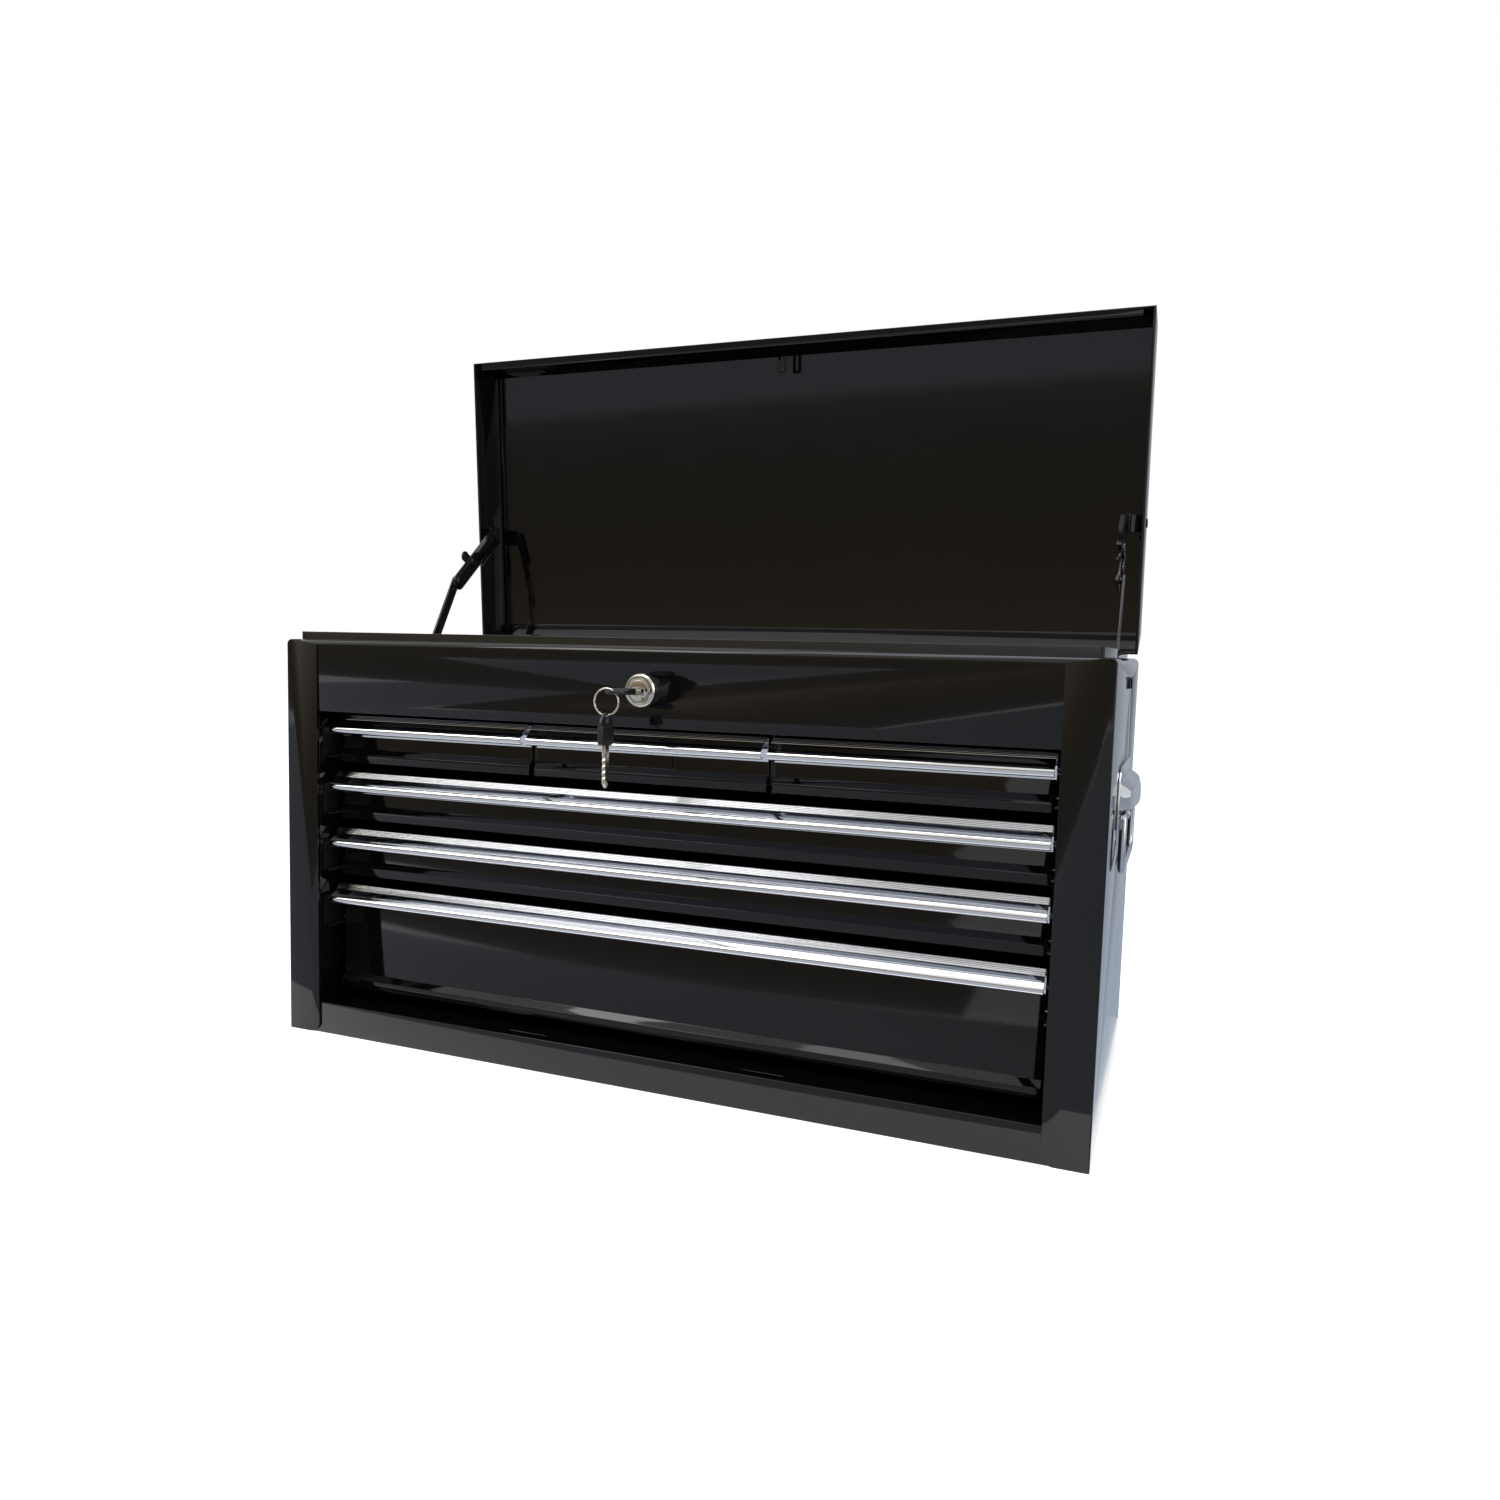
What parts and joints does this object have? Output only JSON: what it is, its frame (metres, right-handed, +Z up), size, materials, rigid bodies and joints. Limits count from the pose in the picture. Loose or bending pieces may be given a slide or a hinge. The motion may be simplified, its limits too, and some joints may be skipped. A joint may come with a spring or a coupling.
{
  "type": "machinist tool chest",
  "caption": "Portable steel tool chest: drawers with full-width ribbed pulls on ball slides, a till under a hinged lid with folding stays, side bail handles and a cam lock.",
  "frame": {"origin": "centre of the bottom face's footprint, on the surface the chest stands on", "axes": "+X to the right seen from the front, +Y to the back, +Z up; the drawers open along -Y"},
  "size_m": [0.6226, 0.3445, 0.5646],
  "materials": {
    "black_coat": "gloss black powder coat with fine orange peel",
    "zinc_steel": "bright zinc plated cold-rolled steel",
    "stay_black": "gloss black baked enamel on stamped steel",
    "slide_black": "black electrophoretic paint on cold-rolled steel",
    "chrome_rod": "bright chrome plated rod",
    "lock_chrome": "bright chrome plated die casting",
    "pull_aluminium": "polished ribbed aluminium extrusion",
    "key_plastic": "black moulded plastic",
    "key_nickel": "nickel plated brass and steel"
  },
  "bodies": {
    "case": {"side_panel_left": "black_coat", "side_panel_right": "black_coat", "back_panel": "black_coat", "base_panel": "black_coat", "header_panel": "black_coat", "bottom_rail": "black_coat", "till_floor": "black_coat", "drawer_dividers": "black_coat", "slide_posts": "black_coat", "slide_rails_left": "slide_black", "slide_rails_right": "slide_black", "slide_rails_divider": "slide_black", "hinge_case_leaf": "black_coat", "handle_brackets": "chrome_rod", "lock_housing": "lock_chrome", "lock_nut": "zinc_steel", "stay_case_studs": "stay_black"},
    "lid": {"lid_panel": "black_coat", "hinge_lid_leaf": "black_coat", "lid_striker": "black_coat", "stay_lid_brackets": "black_coat"},
    "stay_lower_link_left": {"stay_lower_left": "stay_black"},
    "stay_upper_link_left": {"stay_upper_left": "stay_black", "stay_latch_left": "stay_black"},
    "bail_left_rod": {"bail_left": "chrome_rod"},
    "stay_lower_link_right": {"stay_lower_right": "stay_black"},
    "stay_upper_link_right": {"stay_upper_right": "stay_black", "stay_latch_right": "stay_black"},
    "bail_right_rod": {"bail_right": "chrome_rod"},
    "lock_turning": {"lock_plug": "lock_chrome", "lock_cam": "zinc_steel", "key_in_lock_head": "key_plastic", "key_in_lock_blade": "key_nickel"},
    "ring": {"key_ring": "key_nickel"},
    "drawer_1": {"drawer_1_tray": "black_coat", "drawer_1_pull": "pull_aluminium", "drawer_1_runners": "zinc_steel"},
    "cages_1": {"drawer_1_cages": "zinc_steel"},
    "drawer_2": {"drawer_2_tray": "black_coat", "drawer_2_pull": "pull_aluminium", "drawer_2_runners": "zinc_steel"},
    "cages_2": {"drawer_2_cages": "zinc_steel"},
    "drawer_3": {"drawer_3_tray": "black_coat", "drawer_3_pull": "pull_aluminium", "drawer_3_runners": "zinc_steel"},
    "cages_3": {"drawer_3_cages": "zinc_steel"},
    "drawer_4": {"drawer_4_tray": "black_coat", "drawer_4_pull": "pull_aluminium", "drawer_4_runners": "zinc_steel"},
    "cages_4": {"drawer_4_cages": "zinc_steel"},
    "drawer_5": {"drawer_5_tray": "black_coat", "drawer_5_pull": "pull_aluminium", "drawer_5_runners": "zinc_steel"},
    "cages_5": {"drawer_5_cages": "zinc_steel"},
    "drawer_6": {"drawer_6_tray": "black_coat", "drawer_6_pull": "pull_aluminium", "drawer_6_runners": "zinc_steel"},
    "cages_6": {"drawer_6_cages": "zinc_steel"}
  },
  "joints": [
    {"name": "lid_hinge", "type": "hinge", "parent": "case", "child": "lid", "pos_m": [0, 0.1335, 0.3025], "axis": [1, 0, 0], "range_deg": [0, 86]},
    {"name": "stay_lower_pivot_left", "type": "hinge", "parent": "case", "child": "stay_lower_link_left", "pos_m": [-0.289, 0.0325, 0.287], "axis": [1, 0, 0], "range_deg": [0, 103]},
    {"name": "stay_knee_left", "type": "hinge", "parent": "stay_lower_link_left", "child": "stay_upper_link_left", "pos_m": [-0.287, 0.076, 0.36], "axis": [1, 0, 0], "range_deg": [-145, 0]},
    {"name": "stay_lower_pivot_right", "type": "hinge", "parent": "case", "child": "stay_lower_link_right", "pos_m": [0.289, 0.0325, 0.287], "axis": [1, 0, 0], "range_deg": [0, 103]},
    {"name": "stay_knee_right", "type": "hinge", "parent": "stay_lower_link_right", "child": "stay_upper_link_right", "pos_m": [0.287, 0.076, 0.36], "axis": [1, 0, 0], "range_deg": [-145, 0]},
    {"name": "bail_left_swing", "type": "hinge", "parent": "case", "child": "bail_left_rod", "pos_m": [-0.3041, 0, 0.205], "axis": [0, 1, 0], "range_deg": [0, 90]},
    {"name": "bail_right_swing", "type": "hinge", "parent": "case", "child": "bail_right_rod", "pos_m": [0.3041, 0, 0.205], "axis": [0, -1, 0], "range_deg": [0, 90]},
    {"name": "lock_turn", "type": "hinge", "parent": "case", "child": "lock_turning", "pos_m": [0, -0.125, 0.275], "axis": [0, -1, 0], "range_deg": [0, 90]},
    {"name": "ring_hang", "type": "hinge", "parent": "lock_turning", "child": "ring", "pos_m": [0, -0.1665, 0.275], "axis": [0, -1, 0], "range_deg": [-90, 0]},
    {"name": "drawer_1_slide", "type": "slide", "parent": "case", "child": "drawer_1", "axis": [0, -1, 0], "range_m": [0, 0.15]},
    {"name": "cages_1_slide", "type": "slide", "parent": "case", "child": "cages_1", "axis": [0, -1, 0], "range_m": [0, 0.075]},
    {"name": "drawer_2_slide", "type": "slide", "parent": "case", "child": "drawer_2", "axis": [0, -1, 0], "range_m": [0, 0.15]},
    {"name": "cages_2_slide", "type": "slide", "parent": "case", "child": "cages_2", "axis": [0, -1, 0], "range_m": [0, 0.075]},
    {"name": "drawer_3_slide", "type": "slide", "parent": "case", "child": "drawer_3", "axis": [0, -1, 0], "range_m": [0, 0.15]},
    {"name": "cages_3_slide", "type": "slide", "parent": "case", "child": "cages_3", "axis": [0, -1, 0], "range_m": [0, 0.075]},
    {"name": "drawer_4_slide", "type": "slide", "parent": "case", "child": "drawer_4", "axis": [0, -1, 0], "range_m": [0, 0.15]},
    {"name": "cages_4_slide", "type": "slide", "parent": "case", "child": "cages_4", "axis": [0, -1, 0], "range_m": [0, 0.075]},
    {"name": "drawer_5_slide", "type": "slide", "parent": "case", "child": "drawer_5", "axis": [0, -1, 0], "range_m": [0, 0.15]},
    {"name": "cages_5_slide", "type": "slide", "parent": "case", "child": "cages_5", "axis": [0, -1, 0], "range_m": [0, 0.075]},
    {"name": "drawer_6_slide", "type": "slide", "parent": "case", "child": "drawer_6", "axis": [0, -1, 0], "range_m": [0, 0.15]},
    {"name": "cages_6_slide", "type": "slide", "parent": "case", "child": "cages_6", "axis": [0, -1, 0], "range_m": [0, 0.075]}
  ],
  "couplings": [
    {"joint": "stay_lower_pivot_left", "follows": "lid_hinge", "ratio": 1.1775},
    {"joint": "stay_knee_left", "follows": "lid_hinge", "ratio": -1.668},
    {"joint": "stay_lower_pivot_right", "follows": "lid_hinge", "ratio": 1.1775},
    {"joint": "stay_knee_right", "follows": "lid_hinge", "ratio": -1.668},
    {"joint": "ring_hang", "follows": "lock_turn", "ratio": -1},
    {"joint": "cages_1_slide", "follows": "drawer_1_slide", "ratio": 0.5},
    {"joint": "cages_2_slide", "follows": "drawer_2_slide", "ratio": 0.5},
    {"joint": "cages_3_slide", "follows": "drawer_3_slide", "ratio": 0.5},
    {"joint": "cages_4_slide", "follows": "drawer_4_slide", "ratio": 0.5},
    {"joint": "cages_5_slide", "follows": "drawer_5_slide", "ratio": 0.5},
    {"joint": "cages_6_slide", "follows": "drawer_6_slide", "ratio": 0.5}
  ]
}
